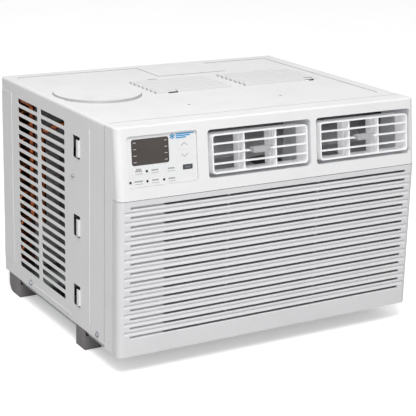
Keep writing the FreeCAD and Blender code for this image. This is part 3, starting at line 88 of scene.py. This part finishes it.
class Look:
    """A Principled material with helpers that add procedural variation."""

    def __init__(self, name, color, roughness, metallic=0.0):
        self.material = bpy.data.materials.new(name)
        self.material.use_nodes = True
        self.tree = self.material.node_tree
        self.shader = self.tree.nodes["Principled BSDF"]
        self.color = (*color, 1)
        self.shader.inputs["Base Color"].default_value = self.color
        self.shader.inputs["Roughness"].default_value = roughness
        self.shader.inputs["Metallic"].default_value = metallic
        self.height = None

    def node(self, kind, **inputs):
        made = self.tree.nodes.new(kind)
        for name, value in inputs.items():
            made.inputs[name.replace("_", " ")].default_value = value
        return made

    def link(self, source, target):
        self.tree.links.new(source, target)

    def place(self, stretch=(1, 1, 1)):
        """Coordinates in the object's own frame, stretched along its axes."""
        coordinates = self.node("ShaderNodeTexCoord")
        mapping = self.node("ShaderNodeMapping", Scale=stretch)
        self.link(coordinates.outputs["Object"], mapping.inputs["Vector"])
        return mapping.outputs["Vector"]

    def noise(self, scale, detail=3.0, stretch=(1, 1, 1)):
        texture = self.node("ShaderNodeTexNoise", Scale=scale, Detail=detail)
        self.link(self.place(stretch), texture.inputs["Vector"])
        return texture.outputs["Fac"]

    def spread(self, value, low, high, out_low=0.0, out_high=1.0):
        """Remap a value's span to another."""
        ramp = self.node("ShaderNodeMapRange", From_Min=low, From_Max=high, To_Min=out_low, To_Max=out_high)
        self.link(value, ramp.inputs["Value"])
        return ramp.outputs["Result"]

    def tint(self, other, amount):
        """Mix another colour over the base by a 0 to 1 amount."""
        mix = self.node("ShaderNodeMix")
        mix.data_type = "RGBA"
        base = self.shader.inputs["Base Color"]
        if base.is_linked:
            self.link(base.links[0].from_socket, mix.inputs[6])
        else:
            mix.inputs[6].default_value = self.color
        mix.inputs[7].default_value = (*other, 1)
        self.link(amount, mix.inputs[0])
        self.link(mix.outputs[2], base)
        return self

    def gloss_range(self, scale, low, high, stretch=(1, 1, 1)):
        """Roughness that wanders between two values."""
        self.link(self.spread(self.noise(scale, 4, stretch), 0.3, 0.7, low, high),
                  self.shader.inputs["Roughness"])
        return self

    def bump(self, height, depth, strength=1.0):
        """Add relief; several are chained."""
        relief = self.node("ShaderNodeBump", Distance=depth, Strength=strength)
        self.link(height, relief.inputs["Height"])
        normal = self.shader.inputs["Normal"]
        if normal.is_linked:
            self.link(normal.links[0].from_socket, relief.inputs["Normal"])
        self.link(relief.outputs["Normal"], normal)
        return self

    def painted_crease_shade(self, other, reach, amount):
        """Painted shade: darken the creases, found by ambient occlusion."""
        shade = self.node("ShaderNodeAmbientOcclusion", Distance=reach)
        shade.samples = 4
        self.tint(other, self.spread(shade.outputs["AO"], 0.2, 0.9, amount, 0.0))
        return self

    def both(self, one, other):
        """Product of two amounts."""
        times = self.node("ShaderNodeMath")
        times.operation = "MULTIPLY"
        self.link(one, times.inputs[0])
        self.link(other, times.inputs[1])
        return times.outputs[0]

    def axes_of(self, vector):
        """X, Y and Z of a vector, as separate outputs."""
        split = self.node("ShaderNodeSeparateXYZ")
        self.link(vector, split.inputs["Vector"])
        return split.outputs


def powder_coat():
    """White coat, with painted shade on the sloping edges where the top sheet is pressed into hoods and
    rims.
    """
    look = Look("powder_coat", (0.79, 0.79, 0.79), 0.42)
    look.tint((0.75, 0.75, 0.755), look.spread(look.noise(9, 5), 0.4, 0.75, 0, 0.6))
    normal = look.axes_of(look.node("ShaderNodeNewGeometry").outputs["Normal"])["Z"]
    spot = look.axes_of(look.place())
    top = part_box("cabinet")[1].z
    shade_band_start, shade_band_end = top - 4.7 * MM, top - 4.4 * MM
    flat_half, flat_end = 233 * MM, 234 * MM
    middle = look.node("ShaderNodeMath")
    middle.operation = "ABSOLUTE"
    look.link(spot["X"], middle.inputs[0])
    near_top = look.spread(spot["Z"], shade_band_start, shade_band_end)
    inner = look.spread(middle.outputs[0], flat_half, flat_end, 1.0, 0.0)
    pressed_slope_shade = look.both(look.both(near_top, inner), look.spread(normal, 0.80, 0.99, 0.95, 0.0))
    # painted shade: grey on the steeper faces of the hoods and rims in the band just under the top, inside
    # the side edges
    look.tint((0.38, 0.38, 0.39), pressed_slope_shade)
    look.gloss_range(35, 0.36, 0.52)
    look.bump(look.noise(1400, 2), 0.00006, 0.5)
    look.bump(look.noise(14, 2), 0.0012, 0.08)
    # painted shade in the creases of the coat
    return look.painted_crease_shade((0.50, 0.49, 0.47), 0.003, 0.15).material


def moulded_white(name, color, grain=2200):
    look = Look(name, color, 0.4)
    look.tint(tuple(0.94 * c for c in color), look.spread(look.noise(14, 5), 0.4, 0.75, 0, 0.6))
    look.gloss_range(50, 0.34, 0.5)
    look.bump(look.noise(grain, 2), 0.00004, 0.5)
    look.shader.inputs["Subsurface Weight"].default_value = 0.04
    look.shader.inputs["Subsurface Radius"].default_value = (0.004, 0.004, 0.004)
    return look


def front_white():
    # painted shade in the creases of the front moulding
    return moulded_white("front_white", (0.79, 0.79, 0.795)).painted_crease_shade((0.5, 0.49, 0.47), 0.003, 0.2).material


GAP_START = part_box("air_filter_frame")[0].x    # the air gaps are blind left of the filter


def grille_white():
    """White plastic, with painted shade on the floors of the open air gaps and in its creases."""
    look = moulded_white("grille_white", (0.70, 0.70, 0.71), 1800)
    flat = look.axes_of(look.node("ShaderNodeTexCoord").outputs["Normal"])["Z"]
    spot = look.axes_of(look.place())
    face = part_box("intake_grille")[0].y
    open_gap = look.spread(spot["X"], GAP_START - 1 * MM, GAP_START + 1 * MM)
    inside = look.spread(spot["Y"], face + 0.6 * MM, face + 1.6 * MM)
    floor = look.spread(flat, 0.85, 0.97, 0.0, 0.85)
    # painted shade: near black on the upward faces inside the open gaps, right of the filter's edge
    look.tint((0.04, 0.04, 0.05), look.both(look.both(open_gap, inside), floor))
    # painted shade in the creases, deepest along the gap edges
    return look.painted_crease_shade((0.28, 0.28, 0.30), 0.004, 0.3).material


def louver_white():
    """Milky, slightly see-through plastic, with a faint glow that stands in for light passing through."""
    look = moulded_white("louver_white", (0.90, 0.90, 0.91))
    look.shader.inputs["Subsurface Weight"].default_value = 0.5
    look.shader.inputs["Transmission Weight"].default_value = 0.2
    look.shader.inputs["Emission Color"].default_value = (1, 1, 1, 1)
    look.shader.inputs["Emission Strength"].default_value = 0.1
    # painted shade in the creases of the louvres and vanes
    return look.painted_crease_shade((0.6, 0.6, 0.63), 0.003, 0.15).material


def link_clear():
    """Half-clear plastic of the vane links."""
    look = moulded_white("link_clear", (0.66, 0.66, 0.68))
    look.shader.inputs["Transmission Weight"].default_value = 0.4
    # painted shade in the creases of the links
    return look.painted_crease_shade((0.35, 0.35, 0.38), 0.003, 0.3).material


def plain_plastic(name, color, roughness=0.55, grain=1500):
    look = Look(name, color, roughness)
    look.tint(tuple(0.75 * c for c in color), look.spread(look.noise(30, 4), 0.4, 0.75, 0, 0.7))
    look.gloss_range(60, roughness - 0.08, roughness + 0.1)
    look.bump(look.noise(grain, 2), 0.00006, 0.6)
    return look


def housing_foam():
    """Pale foam, with painted shade darkening the upper part of the scroll."""
    look = plain_plastic("housing_foam", (0.75, 0.75, 0.76), 0.7)
    height = look.axes_of(look.place())["Z"]
    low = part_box("discharge_duct")[0].z
    # painted shade: near black on the upper part, fading in between 12 mm and 55 mm above the duct's lowest
    # point
    look.tint((0.03, 0.03, 0.045), look.spread(height, low + 12 * MM, low + 55 * MM))
    return look.material


def galvanised():
    look = Look("galvanised", (0.55, 0.57, 0.58), 0.35, 1.0)
    spangle = look.node("ShaderNodeTexVoronoi", Scale=160.0)
    look.link(look.place(), spangle.inputs["Vector"])
    look.tint((0.40, 0.42, 0.44), look.spread(spangle.outputs["Color"], 0.1, 0.9, 0, 0.8))
    look.gloss_range(120, 0.28, 0.5)
    return look.bump(look.noise(700, 2), 0.00003, 0.4).material


def brushed(name, color, along=(1, 1, 40), roughness=0.3):
    look = Look(name, color, roughness, 1.0)
    look.tint(tuple(0.7 * c for c in color), look.spread(look.noise(60, 4), 0.4, 0.8, 0, 0.7))
    look.gloss_range(80, roughness - 0.08, roughness + 0.14, along)
    return look.bump(look.noise(500, 3, along), 0.00003, 0.4).material


def copper():
    look = Look("copper", (0.62, 0.16, 0.045), 0.38, 1.0)
    look.tint((0.16, 0.05, 0.02), look.spread(look.noise(70, 6), 0.42, 0.62, 0, 0.9))
    look.gloss_range(140, 0.2, 0.5)
    return look.bump(look.noise(400, 3), 0.00005, 0.4).material


def fin_foil():
    """Aluminium foil, dulled by its coating."""
    look = Look("fin_foil", (0.78, 0.79, 0.81), 0.45, 0.35)
    look.tint((0.62, 0.63, 0.65), look.spread(look.noise(60, 4), 0.4, 0.8, 0, 0.6))
    look.gloss_range(80, 0.38, 0.55)
    return look.bump(look.noise(500, 3), 0.00002, 0.3).material


def enamel():
    look = Look("black_enamel", (0.02, 0.02, 0.022), 0.25)
    look.tint((0.06, 0.058, 0.055), look.spread(look.noise(25, 5), 0.45, 0.75, 0, 1))
    look.gloss_range(60, 0.2, 0.45)
    return look.bump(look.noise(300, 3), 0.00008, 0.4).material


def rubber():
    look = Look("rubber", (0.02, 0.02, 0.02), 0.8)
    look.tint((0.05, 0.05, 0.048), look.spread(look.noise(40, 5), 0.4, 0.7, 0, 1))
    return look.bump(look.noise(900, 3), 0.00008, 0.6).material


def net():
    """Woven filter net: fine crossing threads with open squares between."""
    look = Look("filter_net", (0.018, 0.022, 0.03), 0.7)
    threads = []
    for axis in ("X", "Z"):
        wave = look.node("ShaderNodeTexWave", Scale=260.0)
        wave.bands_direction = axis
        look.link(look.place(), wave.inputs["Vector"])
        threads.append(look.spread(wave.outputs["Fac"], 0.45, 0.75))
    both = look.node("ShaderNodeMath")
    both.operation = "MAXIMUM"
    look.link(threads[0], both.inputs[0])
    look.link(threads[1], both.inputs[1])
    look.tint((0.035, 0.04, 0.052), both.outputs[0])
    return look.bump(both.outputs[0], 0.0002, 0.8).material


def display_glass():
    look = Look("display_glass", (0.066, 0.054, 0.051), 0.2)
    look.tint((0.085, 0.072, 0.068), look.spread(look.noise(30, 3), 0.35, 0.7, 0, 0.8))
    look.gloss_range(90, 0.16, 0.26)
    look.shader.inputs["Coat Weight"].default_value = 0.4
    return look.bump(look.noise(500, 2), 0.00002, 0.3).material


def overlay_film():
    look = Look("overlay_film", (0.77, 0.77, 0.775), 0.35)
    look.tint((0.74, 0.745, 0.75), look.spread(look.noise(40, 4), 0.4, 0.7, 0, 0.6))
    look.gloss_range(80, 0.3, 0.42)
    look.bump(look.noise(2600, 2), 0.00003, 0.5)
    # painted shade in the creases round the keys
    return look.painted_crease_shade((0.55, 0.55, 0.56), 0.001, 0.2).material


def board_green():
    look = Look("board_green", (0.02, 0.12, 0.05), 0.4)
    tracks = look.node("ShaderNodeTexBrick", Scale=90.0)
    look.link(look.place(), tracks.inputs["Vector"])
    look.tint((0.10, 0.30, 0.10), look.spread(tracks.outputs["Fac"], 0, 1))
    return look.bump(look.noise(800, 2), 0.00005, 0.5).material


def ink(name, color):
    look = Look(name, color, 0.5)
    look.tint(tuple(0.8 * c for c in color), look.spread(look.noise(400, 3), 0.4, 0.7))
    return look.bump(look.noise(2400, 2), 0.00002, 0.4).material


def floor_white():
    """Pale floor, whiter and faintly lit to the camera; other rays meet it greyer, without the glow."""
    look = Look("floor_white", (0.95, 0.95, 0.95), 0.7)
    look.tint((0.93, 0.93, 0.93), look.spread(look.noise(3, 4), 0.35, 0.7))
    seen = look.node("ShaderNodeLightPath").outputs["Is Camera Ray"]
    look.tint((0.50, 0.50, 0.50), look.spread(seen, 0, 1, 1.0, 0.0))
    look.shader.inputs["Emission Color"].default_value = (1, 1, 1, 1)
    look.link(look.spread(seen, 0, 1, 0.0, 0.36), look.shader.inputs["Emission Strength"])
    return look.bump(look.noise(40, 3), 0.0003, 0.2).material


# ---- CAD nodes get their materials ---------------------------------------------------------------

def dress(material, *names):
    for name in names:
        nodes[name].data.materials.clear()
        nodes[name].data.materials.append(material)


WHITE_KEYS = sorted(name for name in nodes if name.startswith("button_") and name != "button_power")
steel = galvanised()
copper_tube = copper()
fin_metal = fin_foil()
louver = louver_white()
overlay = overlay_film()
dress(powder_coat(), "cabinet")
dress(front_white(), "front_panel")
grille_plastic = grille_white()
dress(grille_plastic, "intake_grille")
dress(steel, "base_pan", "motor_bracket", "evaporator_end_plates", "capacitor_strap")
# dark coat on the bulkhead, condenser end plates and fan shroud: partly their own colour, partly painted
# shade for the dark inside of the cabinet
dress(plain_plastic("dark_coat", (0.03, 0.03, 0.032), 0.5).material, "bulkhead", "condenser_end_plates",
      "fan_shroud")
dress(plain_plastic("foot_grey", (0.20, 0.19, 0.19)).material,
      "rear_foot_left", "rear_foot_right", "front_foot_left", "front_foot_right")
dress(plain_plastic("filter_rim", (0.03, 0.034, 0.045)).material, "air_filter_frame")
dress(net(), "air_filter_mesh")
dress(overlay, "control_overlay", *WHITE_KEYS)
dress(display_glass(), "display_window")
dress(brushed("power_key_metal", (0.16, 0.165, 0.175), (40, 1, 1), 0.45), "button_power")
dress(ink("lamp_black", (0.01, 0.01, 0.012)), "led_windows")
dress(board_green(), "control_board")
dress(plain_plastic("box_black", (0.03, 0.03, 0.032)).material, "control_box")
dress(louver, *(name for name in nodes if name.startswith(("louver_", "vane_"))))
dress(link_clear(), "vane_link_left", "vane_link_right")
dress(plain_plastic("duct_grey", (0.78, 0.79, 0.81), 0.6).material, "discharge_duct")
dress(housing_foam(), "blower_housing")
dress(plain_plastic("fan_black", (0.03, 0.03, 0.03), 0.5).material, "condenser_fan")
dress(plain_plastic("wheel_grey", (0.17, 0.165, 0.16), 0.5).material, "blower_wheel")
dress(fin_metal, "evaporator_fins", "condenser_fins")
dress(copper_tube, "evaporator_tubes", "condenser_tubes", "discharge_pipe", "suction_pipe", "capillary_tube",
      "temperature_sensor")
dress(brushed("motor_grey", (0.25, 0.26, 0.28), roughness=0.45), "fan_motor")
dress(brushed("ground_steel", (0.5, 0.5, 0.52), (1, 40, 1), 0.25), "fan_shaft")
dress(enamel(), "compressor", "accumulator")
# rubber for the grommets, gland and drain plug; also the dark strip that paints the shade of the front seam
rubber_and_seam_shade = rubber()
dress(rubber_and_seam_shade, "compressor_grommets", "cord_gland", "drain_plug")
zinc = brushed("zinc", (0.52, 0.54, 0.58), roughness=0.3)
dress(zinc, "compressor_bolts", "cabinet_screws")
dress(brushed("capacitor_metal", (0.6, 0.6, 0.62), roughness=0.35), "run_capacitor")


# ---- mesh helpers --------------------------------------------------------------------------------

def piece(name, builder, material, body):
    """New object from a bmesh builder, riding on a body."""
    mesh = bpy.data.meshes.new(name)
    shape = bmesh.new()
    builder(shape)
    bmesh.ops.recalc_face_normals(shape, faces=shape.faces)
    shape.to_mesh(mesh)
    shape.free()
    made = bpy.data.objects.new(name, mesh)
    bpy.context.scene.collection.objects.link(made)
    mesh.materials.append(material)
    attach(made, body)
    return made


def prism(shape, outline, rise):
    """Closed solid from a planar outline and the vector to its other face."""
    low = [shape.verts.new(point) for point in outline]
    high = [shape.verts.new(point + rise) for point in outline]
    shape.faces.new(low)
    shape.faces.new(high[::-1])
    for i in range(len(low)):
        j = (i + 1) % len(low)
        shape.faces.new((low[i], low[j], high[j], high[i]))


def ribbon(start, end, width):
    """Outline of a straight stroke on the front, from points given across and up."""
    along = Vector(end) - Vector(start)
    side = Vector((-along.y, along.x)).normalized() * width / 2
    a, b = Vector(start), Vector(end)
    return [a + side, b + side, b - side, a - side]


INK_TALL = 0.12 * MM


def printed(name, strokes, depth, material, body):
    """Strokes printed on the front; each is an outline of points given across and up."""
    def build(shape):
        for outline in strokes:
            prism(shape, [on_front(p[0], p[1], depth) for p in outline], -INWARD * INK_TALL)
    return piece(name, build, material, body)


# ---- printed marks of the control panel ----------------------------------------------------------

mark_grey = ink("mark_grey", (0.30, 0.30, 0.31))
mark_pale = ink("mark_pale", (0.42, 0.41, 0.41))
mark_blue = ink("mark_blue", (0.0, 0.30, 0.64))


def face_depth(node):
    """Depth of a plate's outer face, measured on its vertices."""
    return min((vertex.co - FRONT_CORNER).dot(INWARD) for vertex in nodes[node].data.vertices)


FILM_TALL = 0.06 * MM


def film_depth(node):
    """Depth of the printed film over a key."""
    return face_depth(node) - FILM_TALL


def key_films():
    """Thin film over each membrane key; it bridges the gap round the key and carries its label."""
    for name in WHITE_KEYS:
        x, up, _ = front_spot(name)
        flat = [(vertex.co - FRONT_CORNER).dot(UPWARD) for vertex in nodes[name].data.vertices]
        low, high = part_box(name)
        wide = (high.x - low.x) / 2 + 0.5 * MM
        tall = (max(flat) - min(flat)) / 2 + 0.5 * MM
        outline = []
        for side_x, side_up, start in ((1, -1, -90), (1, 1, 0), (-1, 1, 90), (-1, -1, 180)):
            centre = (x + side_x * (wide - 2 * MM), up + side_up * (tall - 2 * MM))
            for step in range(7):
                turn = math.radians(start + 15 * step)
                outline.append((centre[0] + 2 * MM * math.cos(turn), centre[1] + 2 * MM * math.sin(turn)))

        def build(shape, outline=outline, depth=face_depth(name)):
            prism(shape, [on_front(p[0], p[1], depth) for p in outline], -INWARD * FILM_TALL)

        piece("film_" + name, build, overlay, "chassis")


def chevron(x, up, wide, tall):
    """Open arrow of two strokes; a negative height points it down."""
    tip = (x, up + tall / 2)
    return [ribbon((x - wide / 2, up - tall / 2), tip, 0.7 * MM),
            ribbon((x + wide / 2, up - tall / 2), tip, 0.7 * MM)]


def snowflake(x, up, radius):
    strokes = []
    for i in range(6):
        turn = math.radians(60 * i + 30)
        tip = (x + radius * math.cos(turn), up + radius * math.sin(turn))
        strokes.append(ribbon((x, up), tip, 1.1 * MM))
        fork = (x + 0.55 * radius * math.cos(turn), up + 0.55 * radius * math.sin(turn))
        for side in (-0.7, 0.7):
            reach = Vector((math.cos(turn + side), math.sin(turn + side))) * 0.4 * radius
            barb = (fork[0] + reach.x, fork[1] + reach.y)
            strokes.append(ribbon(fork, barb, 0.7 * MM))
    return strokes


def key_icons():
    """A different small group of bars for every membrane key, with a line under it."""
    bars = {"button_fan_speed": (3, 4), "button_eco": (4,), "button_mode": (4,), "button_filter": (5,),
            "button_sleep": (4,), "button_timer": (4,)}
    for name, rows in bars.items():
        x, up, _ = front_spot(name)
        strokes = []
        for row, count in enumerate(rows):
            level = up + (0.6 + 2.4 * (len(rows) - 1 - row)) * MM
            for i in range(count):
                start = x + (i - count / 2) * 2.5 * MM
                strokes.append(ribbon((start, level), (start + 2.0 * MM, level), 1.9 * MM))
        strokes.append(ribbon((x - 5.5 * MM, up - 2.9 * MM), (x + 5.5 * MM, up - 2.9 * MM), 0.5 * MM))
        printed("icon_" + name, strokes, film_depth(name), mark_grey, "chassis")


def control_marks():
    for name, tall in (("button_up", 4.2), ("button_down", -4.2)):
        x, up, _ = front_spot(name)
        printed("arrow_" + name, chevron(x, up, 9.5 * MM, tall * MM), film_depth(name), mark_grey, "chassis")
    x, up, _ = front_spot("button_power")
    printed("power_symbol", [ribbon((x - 3.5 * MM, up), (x - 1 * MM, up), 1.4 * MM),
                             ribbon((x + 0.2 * MM, up), (x + 3.5 * MM, up), 1.4 * MM)],
            face_depth("button_power"), mark_grey, "button_power")
    key_icons()
    x, up, _ = front_spot("display_window")
    low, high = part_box("display_window")
    half = (high.x - low.x) / 2
    ticks = []
    for side in (-1, 1):
        for i in range(4):
            level = up + (1.5 - i) * 8.4 * MM
            edge = x + side * (half - 2.2 * MM)
            ticks.append(ribbon((edge, level), (edge - side * 4.2 * MM, level), 1.1 * MM))
    printed("display_ticks", ticks, face_depth("display_window"), mark_pale, "chassis")
    top_x, top_up, _ = front_spot("button_up")
    emblem_up = top_up + 11.5 * MM
    emblem = snowflake(top_x - 17.3 * MM, emblem_up, 4 * MM)
    for i, wide in enumerate((27, 21, 15)):
        level = emblem_up + (1 - i) * 2.5 * MM
        start = top_x - 12 * MM
        emblem.append(ribbon((start, level), (start + wide * MM, level), 1.6 * MM))
    printed("cool_emblem", emblem, face_depth("control_overlay"), mark_blue, "chassis")


key_films()
control_marks()


# ---- blind ends behind the grille's slats --------------------------------------------------------

def grille_backs():
    """Closed backs of the air gaps beside the filter, close behind the grille's face."""
    low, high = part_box("intake_grille")
    front = low.y + 4.55 * MM
    rear = front + 1.2 * MM
    foot, head = low.z + 14 * MM, high.z - 5 * MM
    edge = low.x + 16 * MM

    def build(shape):
        outline = [Vector((edge, front, foot)), Vector((GAP_START - 2 * MM, front, foot)),
                   Vector((GAP_START - 1 * MM, rear, foot)), Vector((edge, rear, foot))]
        prism(shape, outline, Vector((0, 0, head - foot)))

    piece("grille_backs", build, grille_plastic, "grille")


grille_backs()


# ---- fine fin packs ------------------------------------------------------------------------------

def fin_pack(node, pitch, row_pitch):
    """Foil fins with edges that ripple at every tube row; they stand in for the CAD's coarser fins."""
    low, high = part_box(node)
    count = int((high.x - low.x) / pitch)
    levels = int((high.z - low.z) / row_pitch * 4)
    ripple = 0.35 * MM
    thick = 0.4 * MM

    def build(shape):
        for i in range(count + 1):
            x = low.x + i * (high.x - low.x - thick) / count
            rows = []
            for k in range(levels + 1):
                z = low.z + (high.z - low.z) * k / levels
                wave = ripple * (0.5 + 0.5 * math.cos(2 * math.pi * (z - low.z) / row_pitch))
                front, rear = low.y + wave, high.y - wave
                rows.append([shape.verts.new((x + dx, y, z)) for y, dx in
                             ((front, 0), (front, thick), (rear, thick), (rear, 0))])
            for below, above in zip(rows, rows[1:]):
                for a in range(4):
                    b = (a + 1) % 4
                    shape.faces.new((below[a], below[b], above[b], above[a]))
            shape.faces.new(rows[0][::-1])
            shape.faces.new(rows[-1])

    made = piece(node + "_foil", build, fin_metal, "chassis")
    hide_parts(node)


fin_pack("evaporator_fins", 1.7 * MM, 21 * MM)
fin_pack("condenser_fins", 1.7 * MM, 21 * MM)


# ---- screws --------------------------------------------------------------------------------------

SIDE_FACE = 240 * MM                       # outer face of the cabinet's side, from the middle
HEX_STEPS, ROUND_STEPS, WASHER_STEPS = 6, 24, 28
WASHER_TALL = 0.7
SIDE_SCREWS = ((96, 39, 3.1, HEX_STEPS), (-133, 38, 3.1, HEX_STEPS), (-57, 243, 2.1, ROUND_STEPS))


def screw_heads():
    """Washer-faced heads where the CAD has its screws: hexagons low down and a round one higher up."""
    def build(shape):
        for side in (-1, 1):
            for y, z, radius, head_steps in SIDE_SCREWS:
                turn = Matrix.Rotation(math.radians(90 * side), 4, "Y")
                for rise, deep, wide, steps in ((0.0, WASHER_TALL, radius * 1.55, WASHER_STEPS),
                                                (WASHER_TALL, 1.7, radius, head_steps)):
                    base = Vector((side * (SIDE_FACE + rise * MM), y * MM, z * MM))
                    place = Matrix.Translation(base + Vector((side * deep * MM / 2, 0, 0))) @ turn
                    ring = bmesh.ops.create_cone(shape, cap_ends=True, segments=steps, radius1=wide * MM,
                                                 radius2=wide * 0.86 * MM, depth=deep * MM, matrix=place)
                    if rise:
                        caps = [f for f in {f for v in ring["verts"] for f in v.link_faces}
                                if f.normal.x * side > 0.9]
                        bmesh.ops.inset_region(shape, faces=caps, thickness=radius * 0.35 * MM,
                                               depth=-0.5 * MM)

    made = piece("screw_heads", build, zinc, "chassis")
    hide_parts("cabinet_screws")


screw_heads()


# ---- painted shade: dark strip in the seam between the front moulding and the cabinet ------------

def seam_shade_strip():
    """Painted shade: a dark strip round the joint, just below both skins."""
    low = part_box("cabinet")[0]
    front, rear = -154.95 * MM, -153.95 * MM
    end, corner = low.z + 4 * MM, 3 * MM
    crown_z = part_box("front_panel")[1].z

    def build(shape):
        paths = []
        for inset in (0.25 * MM, 1.3 * MM):
            side, crown = SIDE_FACE - inset, crown_z - inset
            paths.append([(-side, end), (-side, crown - corner), (-side + corner, crown),
                          (side - corner, crown), (side, crown - corner), (side, end)])
        outline = paths[0] + paths[1][::-1]
        prism(shape, [Vector((x, front, z)) for x, z in outline], Vector((0, rear - front, 0)))

    piece("seam_shade_strip", build, rubber_and_seam_shade, "chassis")


seam_shade_strip()


# ---- stage, light and camera ---------------------------------------------------------------------

def build_stage():
    mesh = bpy.data.meshes.new("floor")
    shape = bmesh.new()
    bmesh.ops.create_grid(shape, x_segments=1, y_segments=1, size=6)
    shape.to_mesh(mesh)
    shape.free()
    floor = bpy.data.objects.new("floor", mesh)
    floor.location.z = cad_box[0][2] - 0.0002
    bpy.context.scene.collection.objects.link(floor)
    mesh.materials.append(floor_white())


def soft_light(name, place, aim, width, power):
    lamp = bpy.data.lights.new(name, "AREA")
    lamp.shape = "SQUARE"
    lamp.size = width
    lamp.energy = power
    holder = bpy.data.objects.new(name, lamp)
    bpy.context.scene.collection.objects.link(holder)
    holder.location = place
    holder.rotation_euler = (Vector(place) - Vector(aim)).to_track_quat("Z", "Y").to_euler()


def build_lights():
    middle = (0, 0, 0.17)
    soft_light("key", (-0.7, -1.3, 2.4), middle, 1.2, 44)
    soft_light("fill", (-1.2, -2.4, 1.0), middle, 1.0, 14)
    world = bpy.data.worlds.new("studio")
    world.use_nodes = True
    tree = world.node_tree
    sky = tree.nodes.new("ShaderNodeTexCoord")
    split = tree.nodes.new("ShaderNodeSeparateXYZ")
    rise = tree.nodes.new("ShaderNodeMapRange")
    rise.inputs["To Min"].default_value = 0.32
    rise.inputs["To Max"].default_value = 0.75
    tree.links.new(sky.outputs["Generated"], split.inputs["Vector"])
    tree.links.new(split.outputs["Z"], rise.inputs["Value"])
    seen = tree.nodes.new("ShaderNodeLightPath")
    level = tree.nodes.new("ShaderNodeMath")
    level.operation = "MAXIMUM"
    tree.links.new(rise.outputs["Result"], level.inputs[0])
    tree.links.new(seen.outputs["Is Camera Ray"], level.inputs[1])
    tree.links.new(level.outputs[0], tree.nodes["Background"].inputs["Strength"])
    tree.nodes["Background"].inputs["Color"].default_value = (1, 1, 1, 1)
    bpy.context.scene.world = world


def build_camera():
    """Camera on a sphere about the object's middle, turned by azimuth, elevation and a slight roll."""
    azimuth, elevation, roll = (math.radians(angle) for angle in (-30.72, 16.5, 1.44))
    distance = 1.9
    aim = Vector((-0.0193, -0.0475, 0.1661))
    back = Vector((math.sin(azimuth) * math.cos(elevation), -math.cos(azimuth) * math.cos(elevation),
                   math.sin(elevation)))
    right = Vector((0, 0, 1)).cross(back).normalized()
    up = back.cross(right)
    side = right * math.cos(roll) + up * math.sin(roll)
    top = up * math.cos(roll) - right * math.sin(roll)
    view = bpy.data.cameras.new("view")
    view.lens = 112
    view.sensor_width = 36
    holder = bpy.data.objects.new("view", view)
    bpy.context.scene.collection.objects.link(holder)
    turn = Matrix((side, top, back)).transposed().to_4x4()
    holder.matrix_world = Matrix.Translation(aim + back * distance) @ turn
    bpy.context.scene.camera = holder


build_stage()
build_lights()
build_camera()
bpy.context.scene.view_settings.view_transform = "Standard"
